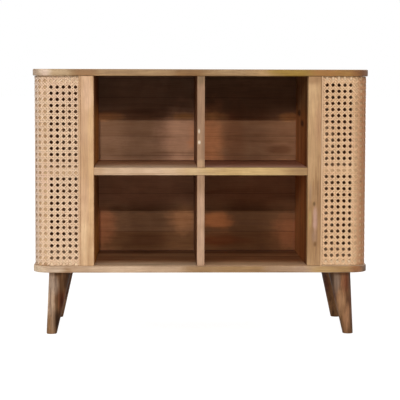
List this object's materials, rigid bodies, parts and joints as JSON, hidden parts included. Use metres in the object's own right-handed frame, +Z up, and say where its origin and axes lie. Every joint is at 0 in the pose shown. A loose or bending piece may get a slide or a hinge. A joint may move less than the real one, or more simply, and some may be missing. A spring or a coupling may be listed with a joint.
{
  "type": "open-front cabinet",
  "caption": "Open-front cabinet with cubbies for display or media, cane-wrapped ends with rounded front corners, and splayed tapered legs.",
  "frame": {"origin": "on the floor, under the middle of the cabinet", "axes": "+Z up, +X to the right seen from the front, the open front faces -Y"},
  "size_m": [0.9, 0.396, 0.715],
  "materials": {
    "mango_wood": "clear matt lacquer over pale brushed mango wood",
    "stained_wood": "brown stain under matt lacquer",
    "leg_wood": "walnut stain under satin lacquer",
    "cane": "natural woven cane, uncoated",
    "reed": "natural reed, uncoated",
    "dowel_wood": "plain beech",
    "zinc_steel": "bright zinc plating"
  },
  "bodies": {
    "root": {"top_board": "mango_wood", "bottom_board": "mango_wood", "shelf": "mango_wood", "divider": "mango_wood", "left_side_panel": "stained_wood", "right_side_panel": "stained_wood", "left_front_post": "mango_wood", "right_front_post": "mango_wood", "left_rear_post": "mango_wood", "right_rear_post": "mango_wood", "left_upper_former": "mango_wood", "left_middle_former": "mango_wood", "left_lower_former": "mango_wood", "right_upper_former": "mango_wood", "right_middle_former": "mango_wood", "right_lower_former": "mango_wood", "left_corner_strip": "mango_wood", "right_corner_strip": "mango_wood", "left_cane_web": "cane", "right_cane_web": "cane", "left_front_bead": "reed", "left_rear_bead": "reed", "right_front_bead": "reed", "right_rear_bead": "reed", "left_front_post_lower_dowel": "dowel_wood", "left_front_post_upper_dowel": "dowel_wood", "left_rear_post_lower_dowel": "dowel_wood", "left_rear_post_upper_dowel": "dowel_wood", "right_front_post_lower_dowel": "dowel_wood", "right_front_post_upper_dowel": "dowel_wood", "right_rear_post_lower_dowel": "dowel_wood", "right_rear_post_upper_dowel": "dowel_wood", "back_panel": "stained_wood", "back_screw_01": "zinc_steel", "back_screw_02": "zinc_steel", "back_screw_03": "zinc_steel", "back_screw_04": "zinc_steel", "back_screw_05": "zinc_steel", "back_screw_06": "zinc_steel", "back_screw_07": "zinc_steel", "back_screw_08": "zinc_steel", "back_screw_09": "zinc_steel", "back_screw_10": "zinc_steel", "back_screw_11": "zinc_steel", "back_screw_12": "zinc_steel", "back_screw_13": "zinc_steel", "front_left_leg": "leg_wood", "front_right_leg": "leg_wood", "rear_left_leg": "leg_wood", "rear_right_leg": "leg_wood", "front_left_leg_bolt": "zinc_steel", "front_right_leg_bolt": "zinc_steel", "rear_left_leg_bolt": "zinc_steel", "rear_right_leg_bolt": "zinc_steel", "front_left_leg_insert": "zinc_steel", "front_right_leg_insert": "zinc_steel", "rear_left_leg_insert": "zinc_steel", "rear_right_leg_insert": "zinc_steel"}
  },
  "joints": []
}
